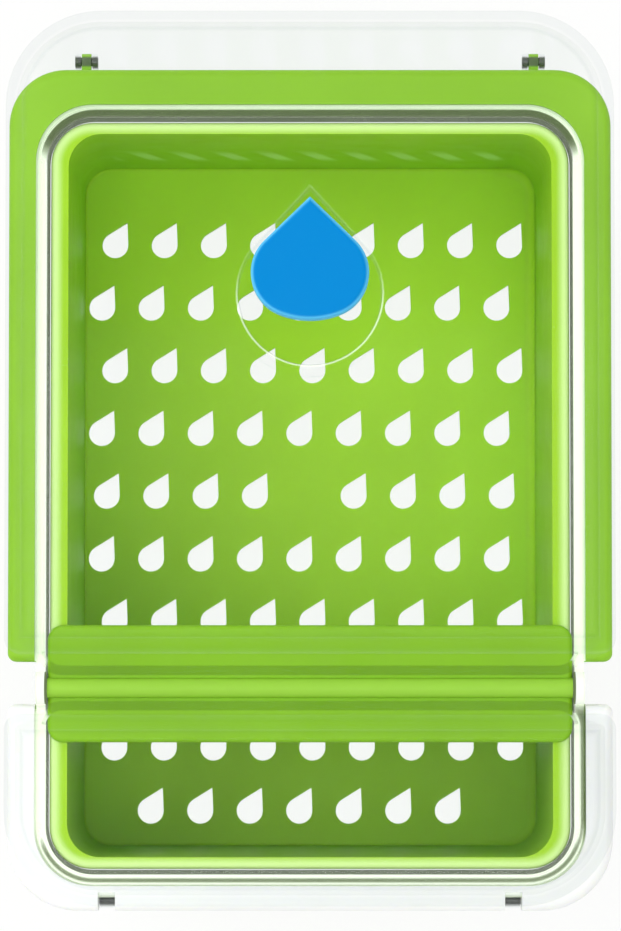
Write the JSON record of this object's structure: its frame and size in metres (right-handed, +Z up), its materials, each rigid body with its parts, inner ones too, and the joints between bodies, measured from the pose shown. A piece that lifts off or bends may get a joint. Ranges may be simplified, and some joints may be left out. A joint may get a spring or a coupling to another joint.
{
  "type": "herb keeper",
  "caption": "Tall clear herb keeper: water tank with a perforated green basket, a bridge bar dividing it, two hinged clear hoods with rim grips and a drop-shaped water plug.",
  "frame": {"origin": "centre of the keeper's footprint, rims and hinge lugs included, on the shelf", "axes": "+Z up; -Y towards the front hood; +X to the right seen from the front"},
  "size_m": [0.127, 0.1814, 0.2233],
  "materials": {
    "clear_shell": "clear polished styrene plastic",
    "frosted_grip": "frosted pale plastic, soft sheen",
    "green_basket": "moulded plastic, satin gloss",
    "green_bar": "moulded plastic, satin gloss",
    "green_grip": "moulded plastic, satin gloss",
    "blue_plug": "moulded plastic, gloss",
    "seal_rubber": "soft, matt",
    "foot_rubber": "soft, matt",
    "pin_steel": "drawn wire, satin"
  },
  "bodies": {
    "base": {"base_tank": "clear_shell", "foot_front_left": "foot_rubber", "foot_front_right": "foot_rubber", "foot_rear_left": "foot_rubber", "foot_rear_right": "foot_rubber", "basket_shell": "green_basket", "drain_floor": "green_basket", "bridge_bar": "green_bar", "rear_hinge_pin_left": "pin_steel", "rear_hinge_pin_right": "pin_steel", "front_hinge_pin_left": "pin_steel", "front_hinge_pin_right": "pin_steel"},
    "rear_hood": {"rear_hood": "clear_shell", "rear_rim_grip": "green_grip"},
    "front_hood": {"front_hood": "clear_shell", "front_rim_grip": "frosted_grip"},
    "plug": {"water_plug": "blue_plug", "plug_seal": "seal_rubber"}
  },
  "joints": [
    {"name": "rear_hood_hinge", "type": "hinge", "parent": "base", "child": "rear_hood", "pos_m": [0, 0.089, 0.065], "axis": [-1, 0, 0], "range_deg": [0, 100]},
    {"name": "front_hood_hinge", "type": "hinge", "parent": "base", "child": "front_hood", "pos_m": [0, -0.0887, 0.065], "axis": [1, 0, 0], "range_deg": [0, 100]},
    {"name": "plug_lift", "type": "slide", "parent": "rear_hood", "child": "plug", "axis": [0, 0, 1], "range_m": [0, 0.02]}
  ]
}
